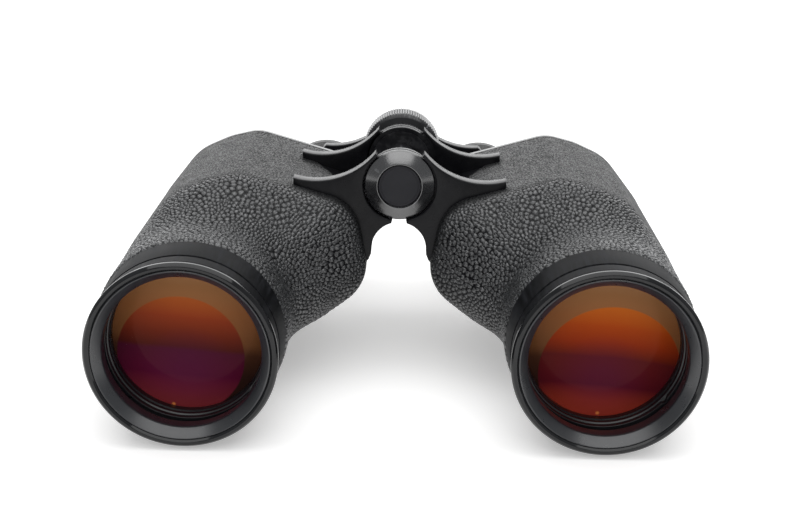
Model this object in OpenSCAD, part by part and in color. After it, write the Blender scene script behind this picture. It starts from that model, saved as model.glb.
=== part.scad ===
// Folding prism binoculars, ten power with 50 mm objectives, centre focus.
// Millimetres. X across, Y from the objective rims (-) to the eyecups (+), Z up.
// Each half is drawn in its own plane: x runs from the hinge axis to the objective
// axis, z is square to it, and half() lays it down at the resting fold angle.

/* [Body] */
// outer radius of the rolled objective rim
rim_r = 30; // [29.5:0.1:30.2]
// thickness of the leatherette
leather_t = 0.8; // [0.5:0.1:1]
// wall thickness of the cast housing
wall = 2.4; // [2:0.1:2.6]
// radius of the hinge lugs
lug_r = 12.1; // [11.5:0.1:12.4]

/* [Focus] */
// outer radius of the focus wheel
wheel_r = 14.4; // [13:0.1:15]
// radius of the focus spindle
spindle_r = 3; // [2.5:0.1:3.4]

/* [Eyepieces] */
// outer radius of the eyecups
cup_r = 16.5; // [16:0.1:17]
// outer radius of the diopter ring
diopter_r = 16; // [15:0.1:16.4]

/* [Part] */
// piece to draw

/* [Hidden] */
$fn = 48;
eps = 0.01;
run = 0.05;             // radial clearance of a running fit
shell_r = 31.3;         // housing radius round the objective axis, leather included
hinge_rise = 37;        // hinge axis above the objective axes
objective_x = 65.3;     // objective axis from the middle plane
axis_h = shell_r;
hinge_h = axis_h + hinge_rise;
rest_angle = atan2(hinge_rise, objective_x);
obj_u = norm([objective_x, hinge_rise]);
eye = [40.4, -6.4];     // eyepiece axis in the plane of a half
eye_x = eye[0] * cos(rest_angle) + eye[1] * sin(rest_angle);
eye_z = hinge_h - eye[0] * sin(rest_angle) + eye[1] * cos(rest_angle);

// stations along Y
rim_y = -90;
leather_y = -68;
throat_y = -52;
crease_y = -28;
cover_y = 40;
cover_t = 3;
bridge_y = 50;
bridge_t = 5.4;
cup_end = 90;
front_arm = [-21, -15];
rear_arm = [18, 24];
left_lugs = [[-19.5, -17.1], [18, 20.9]];
right_lugs = [[-16.9, -14.5], [21.1, 24]];
sleeve_row = [-14.2, 17.7];
sleeve_r = 6;
web_drop = 9;           // the web between the arms lies this much lower
barrel_r = shell_r - leather_t - 0.4;
cap_r = lug_r + 0.2;

// circles whose common envelope is the housing section, leather included
lobes = [[obj_u, 0, shell_r], [66.2, 13.7, 22], [59.5, 16.6, 18.5], [53.2, 18.7, 14.8],
  [33.5, -2, 15.2], [35.8, -11.6, 14.4]];
arc_step = 9;           // degrees between outline points
shelf_y = 7.5;
shelf_t = 3;
prism_turn = [145.7, 55.6];   // direction of the rear and of the front prism
prism_at = [[64.7, 7.05], [47.35, 3.8]];
prism_half = 23;
prism_wide = 22;
prism_tip = 3;
prism_top = prism_half - prism_tip + 1;
cover_screws = [[0, -50], [0, 15], [1, 75], [5, 232]];

// ---- placing and shaping helpers ----

// side 1 is the half at +x, side -1 its mirror image
module half(side) {
  mirror([side < 0 ? 1 : 0, 0, 0]) translate([0, 0, hinge_h]) rotate([0, rest_angle, 0]) children();
}

// same side and height as half(), but with level axes from the hinge line
module level(side) {
  mirror([side < 0 ? 1 : 0, 0, 0]) translate([0, 0, hinge_h]) children();
}

module along(y1, y2) {
  translate([0, y2, 0]) rotate([90, 0, 0]) linear_extrude(y2 - y1) children();
}

module disc(r, y1, y2) {
  translate([0, y1, 0]) rotate([-90, 0, 0]) cylinder(r = r, h = y2 - y1);
}

module ring(r_out, r_in, y1, y2) {
  difference() {
    disc(r_out, y1, y2);
    disc(r_in, y1 - 1, y2 + 1);
  }
}

// profile points are [radius, y]
module turned(points) {
  rotate([-90, 0, 0]) rotate_extrude() polygon(points);
}

module at_objective() { translate([obj_u, 0, 0]) children(); }
module at_eye() { translate([eye[0], 0, eye[1]]) children(); }

function leave(a, b) =
  atan2(b[1] - a[1], b[0] - a[0]) - acos((a[2] - b[2]) / norm([b[0] - a[0], b[1] - a[1]]));
function after(a, b) = b < a ? after(a, b + 360) : (b - a > 360 ? after(a, b - 360) : b);

// housing outline grown by g
function outline(g) = [
  for (i = [0 : len(lobes) - 1])
    let (
      c = lobes[i],
      from = leave(lobes[(i + len(lobes) - 1) % len(lobes)], c),
      to = after(from, leave(c, lobes[(i + 1) % len(lobes)]))
    )
    let (steps = ceil((to - from) / arc_step))
    for (k = [0 : steps])
      let (a = from + (to - from) * k / steps)
      [c[0] + (c[2] + g) * cos(a), c[1] + (c[2] + g) * sin(a)]
];

// barrel, shoulder and flank as one solid, grown by g from the leather's outside
module shell_solid(g, front, back) {
  at_objective() disc(barrel_r + leather_t + g, front, throat_y);
  hull() {
    at_objective() disc(barrel_r + leather_t + g, throat_y - 1, throat_y);
    along(crease_y - 3, crease_y - 2.5) polygon(outline(g - 2.6));
    along(crease_y, crease_y + 0.5) polygon(outline(g - 0.7));
    along(crease_y + 3, crease_y + 4) polygon(outline(g));
  }
  along(crease_y + 3.5, back) polygon(outline(g));
}

// ---- arms and webs between housing and hinge ----

arch_r = 9.5;
arch_z = -22.6;
web_floor = -25.6;
web_low = -79;
web_high = 52.5;

// section of an arm, level axes, origin on the hinge axis
module arm_section(top_drop, hub_clear) {
  difference() {
    polygon([[0, 0], [50 * cos(web_low), 50 * sin(web_low)], [34, -30], [36.4, 2.1 - top_drop],
      [36.4, 12], [14.5 * cos(web_high), 14.5 * sin(web_high)]]);
    translate([29.4, 28.1 - top_drop]) circle(r = 26.9);
    translate([0, arch_z]) circle(r = arch_r);
    translate([-arch_r, arch_z - 40]) square([2 * arch_r, 40]);
    translate([-30, web_floor - 40]) square([60, 40]);
    circle(r = hub_clear);
  }
}

function lugs(side) = side > 0 ? left_lugs : right_lugs;

module arm_set(grow) {
  for (row = [front_arm, rear_arm])
    along(row[0] - grow, row[1] + grow) arm_section(0, lug_r + 0.5);
  along(front_arm[1] - 0.5, rear_arm[0] + 0.5) arm_section(web_drop, lug_r + 0.5);
  along(sleeve_row[0], sleeve_row[1]) arm_section(web_drop, sleeve_r + 0.8);
}

module body(side) {
  color("DimGray") difference() {
    union() {
      half(side) shell_solid(-leather_t, leather_y, cover_y);
      level(side) {
        arm_set(0);
        for (row = lugs(side)) disc(lug_r, row[0], row[1]);
        for (row = lugs(side)) along(row[0], row[1]) arm_section(0, 8);
      }
    }
    half(side) {
      at_objective() disc(28.5, leather_y - 1, throat_y - 2);
      at_objective() disc(26.8, throat_y - 3, throat_y + 3);
      hull() {
        at_objective() disc(26.8, throat_y + 2, throat_y + 2.5);
        along(crease_y + 3, crease_y + 3.5) polygon(outline(-leather_t - wall - 1));
      }
      along(crease_y + 3.2, cover_y + 1) polygon(outline(-leather_t - wall));
    }
    level(side) disc(side > 0 ? 5 : 5 + run, -30, 30);
  }
}

module leather(side) {
  color("DarkSlateGray") difference() {
    half(side) shell_solid(0, leather_y, cover_y - 0.4);
    half(side) shell_solid(-leather_t, leather_y - 1, cover_y + 1);
    level(side) arm_set(0.2);
  }
}

module rear_cover(side) {
  color("DimGray") half(side) difference() {
    union() {
      along(cover_y, cover_y + cover_t) polygon(outline(0));
      along(cover_y - 2.5, cover_y + eps) polygon(outline(-leather_t - wall - 0.1));
    }
    along(cover_y - 3, cover_y) polygon(outline(-leather_t - wall - 2));
    at_eye() disc(13.5, cover_y - 3, cover_y + 5);
    for (s = cover_screws) screw_at(s) disc(0.8, cover_y - 5, cover_y + 5);
  }
}

module screw_at(s) {
  c = lobes[s[0]];
  translate([c[0] + (c[2] - 2.4) * cos(s[1]), 0, c[1] + (c[2] - 2.4) * sin(s[1])]) children();
}

module cover_screw_set(side) {
  color("Gray") half(side) for (s = cover_screws) screw_at(s) difference() {
    union() {
      disc(1.9, cover_y + cover_t, cover_y + cover_t + 1.1);
      disc(0.75, cover_y + 0.5, cover_y + cover_t + eps);
    }
    translate([-2, cover_y + cover_t + 0.7, -0.25]) cube([4, 1, 0.5]);
  }
}

module objective_tube(side) {
  color("Black") half(side) at_objective() turned([
    [27.6, rim_y], [rim_r - 1, rim_y], [rim_r - 0.3, rim_y + 0.4], [rim_r, rim_y + 1],
    [rim_r, rim_y + 3.6], [29.5, rim_y + 4.2], [29.5, -80.6], [29.1, -80.2], [29.6, -79.8],
    [30.3, leather_y - 0.2], [28.45, leather_y - 0.2], [28.45, throat_y - 3], [27.6, throat_y - 3]
  ]);
}

module hood(side) {
  color("Black") half(side) at_objective() turned([
    [27.55, rim_y + 0.6], [27.55, rim_y + 9.4], [25.6, rim_y + 9.4], [25.6, rim_y + 8.2],
    [24.6, rim_y + 8.2], [24.6, rim_y + 3.6], [27.2, rim_y + 0.6]
  ]);
}

module lens_cell(side) {
  color("Black") half(side) at_objective() turned([
    [27.55, -80.4], [27.55, -57], [23.8, -57], [23.8, -59.4], [25.4, -59.4], [25.4, -72],
    [26.2, -72], [26.2, -80.4]
  ]);
}

module lens_ring(side) {
  color("DarkGray") half(side) at_objective() turned([
    [26.15, -78.6], [26.15, -72.5], [24.2, -72.5], [24.2, -75], [24.9, -76], [24.9, -78.6]
  ]);
}

// lens faces as arcs: y of a face of radius R whose middle stands at y0
function face(r_edge, R, y0, n = 8) =
  [for (i = [0 : n]) let (r = r_edge * i / n) [r, y0 + sign(R) * (abs(R) - sqrt(R * R - r * r))]];
function back_to_front(list) = [for (i = [len(list) - 1 : -1 : 0]) list[i]];

module lens(r_edge, R1, y1, R2, y2) {
  turned(concat(face(r_edge, R1, y1), back_to_front(face(r_edge, R2, y2))));
}

module objective_crown(side) {
  color("Orange") half(side) at_objective() lens(25.3, 110, -75, -75, -65);
}

module objective_flint(side) {
  color("Gold") half(side) at_objective() lens(25.3, -75, -64.95, -300, -60.5);
}

module shelf_windows() {
  for (p = prism_at) translate([p[0], 0, p[1]])
    rotate([0, -prism_turn[p == prism_at[0] ? 0 : 1], 0])
      for (s = [-1, 1]) translate([s * 12.5, 0, 0]) disc(9.5, shelf_y - 1, shelf_y + shelf_t + 1);
}

module prism_shelf(side) {
  color("Silver") half(side) difference() {
    along(shelf_y, shelf_y + shelf_t) polygon(outline(-leather_t - wall - 0.15));
    shelf_windows();
  }
}

// outline of a right-angle prism with its tip cut off, grown by g
function prism_outline(g) = [
  [-prism_half - g, 0], [prism_half + g, 0], [prism_half + g, 1 + g],
  [prism_tip + g / 2, prism_top + g], [-prism_tip - g / 2, prism_top + g], [-prism_half - g, 1 + g]
];

// lays a prism section on the shelf; way 1 points to the eyepieces, -1 to the rims
module on_shelf(which, way, base, wide) {
  translate([prism_at[which][0], base, prism_at[which][1]]) rotate([0, -prism_turn[which], 0])
    mirror([0, way < 0 ? 1 : 0, 0]) translate([0, 0, -wide / 2]) linear_extrude(wide) children();
}

module prism(which, way, base) {
  on_shelf(which, way, base, prism_wide) polygon(prism_outline(0));
}

module rear_prism(side) { color("LightCyan") half(side) prism(0, 1, shelf_y + shelf_t); }
module front_prism(side) { color("LightCyan") half(side) prism(1, -1, shelf_y); }

clip_t = 0.5;
clip_wide = 7;

// a spring strap over the tip of a prism
module clip(which, way, base) {
  on_shelf(which, way, base, clip_wide) difference() {
    polygon(prism_outline(0.1 + clip_t));
    polygon(prism_outline(0.1));
    translate([-prism_half - 2, -1]) square([2 * prism_half + 4, 1.05]);
  }
}

module prism_clips(side) {
  color("Goldenrod") half(side) {
    clip(0, 1, shelf_y + shelf_t);
    clip(1, -1, shelf_y);
  }
}

lug_hole_r = 2.2;
strap_at = [obj_u + 23, cover_y + cover_t + 5, 0];

module strap_lug(side) {
  color("Gray") half(side) difference() {
    translate(strap_at) union() {
      translate([0, 0, -1.5]) cylinder(r = 4.6, h = 3);
      translate([-4.6, -5, -1.5]) cube([9.2, 5, 3]);
    }
    translate(strap_at - [0, 0, 3]) cylinder(r = lug_hole_r, h = 6);
  }
}

module guide_tube(side) {
  color("Silver") half(side) at_eye() turned([
    [12 + run, 22], [13.45, 22], [13.45, cover_y + cover_t], [15.9, cover_y + cover_t],
    [15.9, cover_y + cover_t + 1], [15, cover_y + cover_t + 1.8], [13.6, cover_y + cover_t + 2.4],
    [12 + run, cover_y + cover_t + 2.4]
  ]);
}

module ocular_tube(side) {
  color("Silver") half(side) at_eye() ring(12, 10.8, 26, 66);
}

module ocular_collar(side) {
  color("Black") half(side) at_eye() ring(15.4, 12.02, bridge_y + bridge_t + 0.1, 66);
}

module diopter_ring(side) {
  color("Black") half(side) at_eye() turned([
    [12 + run, bridge_y + bridge_t + 0.5], [diopter_r - 0.6, bridge_y + bridge_t + 0.5],
    [diopter_r, bridge_y + bridge_t + 1.2], [diopter_r, 64.2], [diopter_r - 0.6, 64.8],
    [12 + run, 64.8]
  ]);
}

module eye_barrel(side) {
  color("Black") half(side) at_eye() turned([
    [9.6, 34], [10.75, 34], [10.75, 68], [14.6, 68], [14.6, 72], [9.6, 72]
  ]);
}

module field_lens(side) {
  color("LightCyan") half(side) at_eye() lens(9.55, 60, 35, -40, 41);
}

module eye_lens(side) {
  color("LightCyan") half(side) at_eye() lens(9.55, 26, 62, -60, 70.5);
}

module eyecup(side) {
  color("Black") half(side) at_eye() turned([
    [14.65, 68], [cup_r - 0.5, 68], [cup_r, 68.6], [cup_r, cup_end - 1.4], [cup_r - 0.5, cup_end - 0.4],
    [cup_r - 1.2, cup_end], [cup_r - 2.4, cup_end - 0.8], [11, 72.8], [11, 72.05], [14.65, 72.05]
  ]);
}

// thin shaped web from the spindle to the ring round the eyepiece, level axes
module bridge_section() {
  ex = eye_x;
  ez = eye_z - hinge_h;
  difference() {
    union() {
      polygon([[5, 4.5], [15, 2.5], [30.5, 0], [33, -6], [ex + 4, ez + 13], [ex - 13, ez + 3], [9, -9]]);
      translate([ex, ez]) circle(r = 15.8);
    }
    translate([27.5, 24.8]) circle(r = 27.5);
    translate([ex, ez]) circle(r = 12.02);
    circle(r = 8.5);
  }
}

module bridge_arm(side) {
  mid = bridge_y + bridge_t / 2;
  hub = side > 0 ? [bridge_y, mid - 0.15] : [mid + 0.15, bridge_y + bridge_t];
  color("Black") level(side) difference() {
    union() {
      along(bridge_y, bridge_y + bridge_t) bridge_section();
      disc(8, hub[0], hub[1]);
      along(hub[0], hub[1]) difference() {
        polygon([[0, 3.6], [12, 3.4], [16, -2], [12, -10.5], [3, -6]]);
        translate([27.5, 24.8]) circle(r = 27.5);
      }
    }
    disc(side > 0 ? spindle_r + 0.01 : spindle_r + run, bridge_y - 1, bridge_y + bridge_t + 1);
  }
}

// ---- pieces on the hinge line ----

module hinge_axle() { color("Silver") level(1) ring(5 - 0.01, spindle_r + run, -19.4, 30); }

module hinge_washers() {
  color("Goldenrod") level(1) for (y = [right_lugs[0][1] + 0.02, left_lugs[1][0] - 0.28])
    ring(10.5, 5.05, y, y + 0.26);
}

module hinge_sleeve() {
  color("Black") level(1) ring(sleeve_r, 5.02, sleeve_row[0], sleeve_row[1]);
}

module front_cap() {
  color("Black") level(1) turned([
    [0, -21.1], [7.6, -21.1], [7.6, -22], [8.5, -22], [cap_r, -19.9], [cap_r, -19.5], [0, -19.5]
  ]);
}

module cap_disc() { color("DimGray") level(1) disc(7.4, -21.7, -21.1); }

module scale_ring() { color("DimGray") level(1) ring(lug_r - 0.2, 5.05, 24, 25.4); }

module focus_wheel() {
  color("Black") level(1) turned([
    [5 + run, 26], [8.5, 26], [8.5, 31], [wheel_r - 0.9, 31], [wheel_r, 32], [wheel_r, 42.2],
    [wheel_r - 0.8, 43], [spindle_r + run, 43], [spindle_r + run, 30.4], [5 + run, 30.4]
  ]);
}

module focus_spindle() {
  color("Silver") level(1) disc(spindle_r, 4, bridge_y + bridge_t);
}

module bridge_cap() {
  color("Black") level(1) turned([
    [0, bridge_y + bridge_t + 0.1], [6.8, bridge_y + bridge_t + 0.1], [6.8, bridge_y + bridge_t + 2],
    [6, bridge_y + bridge_t + 2.8], [0, bridge_y + bridge_t + 2.8]
  ]);
}

body(1);  // left_body
leather(1);  // left_leather
rear_cover(1);  // left_rear_cover
cover_screw_set(1);  // left_cover_screws
objective_tube(1);  // left_objective_tube
hood(1);  // left_hood
lens_cell(1);  // left_lens_cell
lens_ring(1);  // left_lens_ring
objective_crown(1);  // left_objective_crown
objective_flint(1);  // left_objective_flint
prism_shelf(1);  // left_prism_shelf
rear_prism(1);  // left_prism_rear
front_prism(1);  // left_prism_front
prism_clips(1);  // left_prism_clips
strap_lug(1);  // left_strap_lug
guide_tube(1);  // left_guide_tube
ocular_tube(1);  // left_ocular_tube
eye_barrel(1);  // left_eye_barrel
field_lens(1);  // left_field_lens
eye_lens(1);  // left_eye_lens
eyecup(1);  // left_eyecup
bridge_arm(1);  // left_bridge_arm
ocular_collar(1);  // left_ocular_collar
body(-1);  // right_body
leather(-1);  // right_leather
rear_cover(-1);  // right_rear_cover
cover_screw_set(-1);  // right_cover_screws
objective_tube(-1);  // right_objective_tube
hood(-1);  // right_hood
lens_cell(-1);  // right_lens_cell
lens_ring(-1);  // right_lens_ring
objective_crown(-1);  // right_objective_crown
objective_flint(-1);  // right_objective_flint
prism_shelf(-1);  // right_prism_shelf
rear_prism(-1);  // right_prism_rear
front_prism(-1);  // right_prism_front
prism_clips(-1);  // right_prism_clips
strap_lug(-1);  // right_strap_lug
guide_tube(-1);  // right_guide_tube
ocular_tube(-1);  // right_ocular_tube
eye_barrel(-1);  // right_eye_barrel
field_lens(-1);  // right_field_lens
eye_lens(-1);  // right_eye_lens
eyecup(-1);  // right_eyecup
bridge_arm(-1);  // right_bridge_arm
diopter_ring(-1);  // right_diopter_ring
hinge_axle();
hinge_washers();
hinge_sleeve();
front_cap();
cap_disc();
scale_ring();
focus_wheel();
focus_spindle();
bridge_cap();
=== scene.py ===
import math
import random

import bpy
import bmesh
import numpy as np
from mathutils import Matrix, Vector
from mathutils.kdtree import KDTree


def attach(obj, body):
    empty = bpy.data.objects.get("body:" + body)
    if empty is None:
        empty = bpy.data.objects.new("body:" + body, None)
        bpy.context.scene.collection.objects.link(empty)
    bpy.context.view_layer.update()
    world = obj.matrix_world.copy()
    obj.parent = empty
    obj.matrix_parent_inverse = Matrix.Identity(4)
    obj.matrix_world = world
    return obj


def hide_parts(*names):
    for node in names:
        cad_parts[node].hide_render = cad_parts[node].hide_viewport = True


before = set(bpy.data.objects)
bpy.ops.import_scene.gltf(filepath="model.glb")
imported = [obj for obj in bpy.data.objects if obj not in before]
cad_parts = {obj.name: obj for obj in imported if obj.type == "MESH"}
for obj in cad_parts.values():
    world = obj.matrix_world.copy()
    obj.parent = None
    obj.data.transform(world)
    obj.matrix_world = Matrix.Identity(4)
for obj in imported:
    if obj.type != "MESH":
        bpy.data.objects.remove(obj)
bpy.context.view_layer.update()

rng = random.Random(7)

# ---------------------------------------------------------------- measures, in mm, as in part.scad
MM = 0.001
SHELL_R = 31.3
HINGE_RISE = 37.0
OBJECTIVE_X = 65.3
AXIS_H = SHELL_R
HINGE_H = AXIS_H + HINGE_RISE
REST = math.atan2(HINGE_RISE, OBJECTIVE_X)
COS, SIN = math.cos(REST), math.sin(REST)
OBJ_U = math.hypot(OBJECTIVE_X, HINGE_RISE)
EYE = (40.4, -6.4)
EYE_X = EYE[0] * COS + EYE[1] * SIN
EYE_DZ = -EYE[0] * SIN + EYE[1] * COS
BARREL_R = SHELL_R - 0.4
COVER_Y, COVER_T = 40.0, 3.0
COVER_TOP = COVER_Y + COVER_T
LUG_R, CAP_R, SLEEVE_R = 12.1, 12.3, 6.0
AXLE_R, SPINDLE_R, TUBE_R, CUP_R = 5.0, 3.0, 12.0, 16.5
FRONT_ARM, REAR_ARM = (-21.0, -15.0), (18.0, 24.0)
LEFT_LUGS, RIGHT_LUGS = ((-19.5, -17.1), (18.0, 20.9)), ((-16.9, -14.5), (21.1, 24.0))
SLEEVE_ROW, BRIDGE_ROW = (-14.2, 17.7), (50.0, 55.4)
WEB_DROP = 9.0
# circles (u, v, radius) whose common envelope is the housing section, leather included
LOBES = [(OBJ_U, 0, SHELL_R), (66.2, 13.7, 22.0), (59.5, 16.6, 18.5), (53.2, 18.7, 14.8), (33.5, -2, 15.2),
         (35.8, -11.6, 14.4)]
SIDES = {"left": 1, "right": -1}

# ---------------------------------------------------------------- camera first
CAM_AZ, CAM_EL, CAM_ROLL = math.radians(0.83), math.radians(17.95), math.radians(0.88)
CAM_AT = Vector((4.4, -466.3, 185.3)) * MM
FOCAL_PX, PICTURE_W = 1339.0, 785.0


def make_camera():
    data = bpy.data.cameras.new("photo_camera")
    data.sensor_width = 36.0
    data.lens = FOCAL_PX / PICTURE_W * data.sensor_width
    data.clip_start, data.clip_end = 0.01, 20.0
    cam = bpy.data.objects.new("photo_camera", data)
    bpy.context.scene.collection.objects.link(cam)
    level = math.cos(CAM_EL)
    fwd = Vector((-math.sin(CAM_AZ) * level, math.cos(CAM_AZ) * level, -math.sin(CAM_EL)))
    right = fwd.cross(Vector((0, 0, 1))).normalized()
    up = right.cross(fwd)
    rolled_right = right * math.cos(CAM_ROLL) + up * math.sin(CAM_ROLL)
    rolled_up = up * math.cos(CAM_ROLL) - right * math.sin(CAM_ROLL)
    pose = Matrix((rolled_right, rolled_up, -fwd)).transposed().to_4x4()
    pose.translation = CAM_AT
    cam.matrix_world = pose
    bpy.context.scene.camera = cam


make_camera()


# ---------------------------------------------------------------- node helpers
class Nodes:
    """A thin wrapper that keeps the material code short."""

    def __init__(self, name):
        self.mat = bpy.data.materials.new(name)
        self.mat.use_nodes = True
        self.nt = self.mat.node_tree
        self.nt.nodes.clear()
        self.out = self.nt.nodes.new("ShaderNodeOutputMaterial")
        self.bsdf = self.nt.nodes.new("ShaderNodeBsdfPrincipled")
        self.link(self.bsdf.outputs[0], self.out.inputs[0])
        coord = self.nt.nodes.new("ShaderNodeTexCoord")
        self.pos = coord.outputs["Object"]

    def link(self, a, b):
        self.nt.links.new(a, b)

    def put(self, socket, value):
        if hasattr(value, "is_output"):
            self.link(value, socket)
        else:
            socket.default_value = value

    def set(self, **values):
        for key, value in values.items():
            self.put(self.bsdf.inputs[key.replace("_", " ")], value)
        return self

    def noise(self, scale, detail=3.0, rough=0.5, vector=None):
        n = self.nt.nodes.new("ShaderNodeTexNoise")
        self.put(n.inputs["Vector"], vector or self.pos)
        n.inputs["Scale"].default_value = scale
        n.inputs["Detail"].default_value = detail
        n.inputs["Roughness"].default_value = rough
        return n.outputs["Fac"]

    def cells(self, scale):
        n = self.nt.nodes.new("ShaderNodeTexVoronoi")
        self.put(n.inputs["Vector"], self.pos)
        n.inputs["Scale"].default_value = scale
        return n.outputs["Distance"]

    def ramp(self, fac, stops):
        """Colour, or grey for plain numbers, that runs through the given (position, value) stops."""
        n = self.nt.nodes.new("ShaderNodeValToRGB")
        while len(n.color_ramp.elements) < len(stops):
            n.color_ramp.elements.new(0.5)
        for e, (p, c) in zip(n.color_ramp.elements, stops):
            e.position = p
            e.color = (c, c, c, 1) if isinstance(c, (int, float)) else (*c, 1)
        self.put(n.inputs["Fac"], fac)
        return n.outputs["Color"]

    def math(self, op, a, b=0.0):
        n = self.nt.nodes.new("ShaderNodeMath")
        n.operation = op
        self.put(n.inputs[0], a)
        self.put(n.inputs[1], b)
        return n.outputs[0]

    def mix(self, fac, a, b, mode="MIX"):
        n = self.nt.nodes.new("ShaderNodeMix")
        n.data_type = "RGBA"
        n.blend_type = mode
        self.put(n.inputs[0], fac)
        for socket, value in ((n.inputs[6], a), (n.inputs[7], b)):
            self.put(socket, (*value, 1) if isinstance(value, tuple) and len(value) == 3 else value)
        return n.outputs[2]

    def bump(self, height, strength, distance):
        n = self.nt.nodes.new("ShaderNodeBump")
        n.inputs["Strength"].default_value = strength
        n.inputs["Distance"].default_value = distance
        self.put(n.inputs["Height"], height)
        return n.outputs[0]

    def scaled(self, sx, sy, sz):
        n = self.nt.nodes.new("ShaderNodeMapping")
        n.inputs["Scale"].default_value = (sx, sy, sz)
        self.put(n.inputs["Vector"], self.pos)
        return n.outputs[0]

    def xyz(self):
        n = self.nt.nodes.new("ShaderNodeSeparateXYZ")
        self.put(n.inputs[0], self.pos)
        return n.outputs

    def edges(self, low, high):
        """Bright where the surface turns sharply outwards: worn corners."""
        g = self.nt.nodes.new("ShaderNodeNewGeometry")
        return self.ramp(g.outputs["Pointiness"], [(low, 0.0), (high, 1.0)])

    def attribute(self, name):
        n = self.nt.nodes.new("ShaderNodeAttribute")
        n.attribute_name = name
        return n.outputs["Fac"]


# ---------------------------------------------------------------- materials
def enamel(name, dark=(0.005, 0.005, 0.006), light=(0.011, 0.011, 0.013), rough=(0.34, 0.48), wear=0.1,
           gloss=0.28, ior=1.5):
    """Black lacquer: cloudy tone, fine orange peel, worn corners and a few dust specks."""
    m = Nodes(name)
    blotch = m.noise(60, 4, 0.6)
    fine = m.noise(2600, 2, 0.5)
    colour = m.mix(m.ramp(blotch, [(0.35, 0.0), (0.7, 1.0)]), dark, light)
    worn = m.math("MULTIPLY", m.edges(0.52, 0.62), m.ramp(m.noise(420, 3, 0.6), [(0.45, 0.0), (0.62, 1.0)]))
    colour = m.mix(m.math("MULTIPLY", worn, wear * 4), colour, (0.2, 0.2, 0.21))
    specks = m.ramp(m.cells(700), [(0.0, 1.0), (0.045, 0.0)])
    dust = m.math("MULTIPLY", specks, m.ramp(m.noise(90, 2), [(0.56, 0.0), (0.7, 1.0)]))
    colour = m.mix(m.math("MULTIPLY", dust, 0.25), colour, (0.3, 0.29, 0.28))
    m.set(Base_Color=colour, Roughness=m.ramp(m.noise(150, 4, 0.65), [(0.3, rough[0]), (0.75, rough[1])]))
    relief = m.math("ADD", fine, m.math("MULTIPLY", blotch, 3.0))
    m.set(Specular_IOR_Level=gloss, IOR=ior, Normal=m.bump(relief, 0.25, 0.00004))
    return m.mat


def leatherette():
    """Pebbled skin with fine wrinkles: the mesh's grain gives tone, painted shade in pits, painted highlight
    on crests.
    """
    m = Nodes("leatherette_black")
    height = m.attribute("grain")
    fine = m.noise(1700, 4, 0.65)
    cells = m.cells(1150)
    tone = m.noise(45, 3, 0.5)
    level = m.math("ADD", height, m.math("MULTIPLY", m.math("SUBTRACT", fine, 0.5), 0.5))
    # painted shade and highlight: darkest in the grooves, palest on the pebble tops, partly the skin's own
    # tone
    body = m.ramp(level, [(0.1, (0.0028, 0.0029, 0.0033)), (0.4, (0.007, 0.0073, 0.008)),
                          (0.7, (0.018, 0.0187, 0.0202)), (1.0, (0.042, 0.0435, 0.047))])
    colour = m.mix(0.4, body, m.ramp(tone, [(0.3, 0.45), (0.75, 0.95)]), "MULTIPLY")
    m.set(Base_Color=colour, Specular_IOR_Level=m.ramp(level, [(0.25, 0.1), (0.85, 1.0)]))
    m.set(Roughness=m.ramp(level, [(0.1, 0.7), (0.9, 0.25)]), IOR=1.56)
    relief = m.math("ADD", m.math("MULTIPLY", fine, 0.8), m.math("MULTIPLY", cells, 0.8))
    m.set(Normal=m.bump(relief, 0.85, 0.0003))
    return m.mat


def rim_gloss():
    """Glossy lacquer of the rolled rim, with fine scratches along it and a few dust specks."""
    m = Nodes("rim_gloss_black")
    n = m.noise(140, 4, 0.6)
    scratch = m.noise(900, 2, 0.5, m.scaled(1, 0.05, 1))
    colour = m.ramp(n, [(0.3, (0.004, 0.0043, 0.005)), (0.8, (0.01, 0.0105, 0.012))])
    specks = m.math("MULTIPLY", m.ramp(m.cells(520), [(0.0, 1.0), (0.05, 0.0)]),
                    m.ramp(m.noise(70, 2), [(0.5, 0.0), (0.66, 1.0)]))
    colour = m.mix(m.math("MULTIPLY", specks, 0.5), colour, (0.5, 0.48, 0.45))
    m.set(Base_Color=colour, Roughness=m.ramp(n, [(0.3, 0.07), (0.8, 0.14)]), Specular_IOR_Level=0.4)
    m.set(Normal=m.bump(scratch, 0.08, 0.00003))
    return m.mat


def streaked_metal():
    """Matte black barrel band with faint fine streaks along it."""
    m = Nodes("barrel_matte_black")
    streak = m.noise(620, 4, 0.75, m.scaled(1.0, 0.06, 1.0))
    broad = m.noise(90, 3, 0.5)
    colour = m.mix(m.ramp(streak, [(0.42, 0.0), (0.68, 1.0)]),
                   (0.0018, 0.0019, 0.0024), (0.018, 0.0188, 0.022))
    colour = m.mix(m.ramp(broad, [(0.3, 0.3), (0.8, 0.0)]), colour, (0.006, 0.006, 0.0065))
    m.set(Base_Color=colour, Roughness=m.ramp(streak, [(0.2, 0.42), (0.8, 0.6)]), Specular_IOR_Level=0.05)
    m.set(Normal=m.bump(streak, 0.7, 0.00008))
    return m.mat


def metal(name, colour, dark):
    """Turned metal: fine rings along the axis, cloudy gloss."""
    m = Nodes(name)
    n = m.noise(900, 3, 0.6, m.scaled(1, 6, 1))
    base = m.mix(m.ramp(n, [(0.3, 0.0), (0.75, 1.0)]), dark, colour)
    m.set(Base_Color=base, Metallic=1.0, Roughness=m.ramp(m.noise(200, 4), [(0.3, 0.25), (0.8, 0.42)]))
    m.set(Normal=m.bump(n, 0.15, 0.00003))
    return m.mat


def clear_glass(name, tint, pale):
    m = Nodes(name)
    m.set(Base_Color=m.ramp(m.noise(40), [(0.3, tint), (0.8, pale)]), Roughness=0.02, IOR=1.52)
    m.set(Transmission_Weight=1.0)
    return m.mat


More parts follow.
